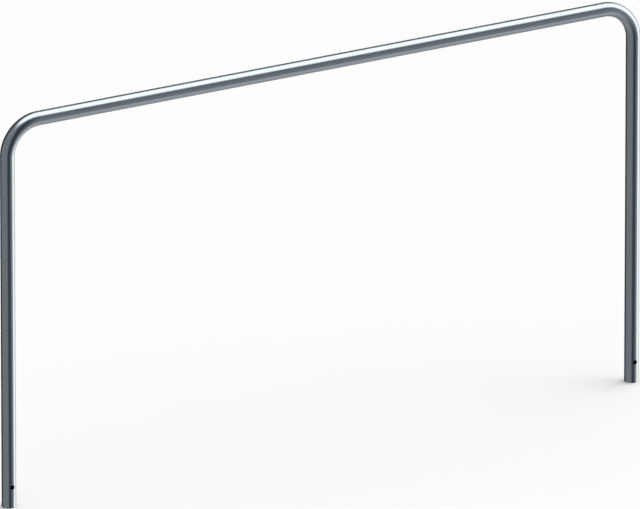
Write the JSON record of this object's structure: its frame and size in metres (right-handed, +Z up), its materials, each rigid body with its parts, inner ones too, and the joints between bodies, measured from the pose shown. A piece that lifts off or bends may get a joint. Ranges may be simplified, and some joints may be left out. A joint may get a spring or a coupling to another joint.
{
  "type": "hoop barrier",
  "caption": "Inverted-U hoop barrier of round steel tube with tight bends, and a cross-hole near each foot for an anchor bar.",
  "frame": {"origin": "on the plane under the two feet, midway between the legs", "axes": "+Z up, +X along the top rail to the right leg, +Y away from the side the picture was taken from"},
  "size_m": [2.5, 0.05, 1.4],
  "materials": {
    "steel": "satin, smooth bright tube",
    "weld": "ground flush with the tube"
  },
  "bodies": {
    "root": {"left_leg": "steel", "left_bend": "steel", "top_rail": "steel", "right_bend": "steel", "right_leg": "steel", "left_leg_weld": "weld", "left_rail_weld": "weld", "right_rail_weld": "weld", "right_leg_weld": "weld"}
  },
  "joints": []
}
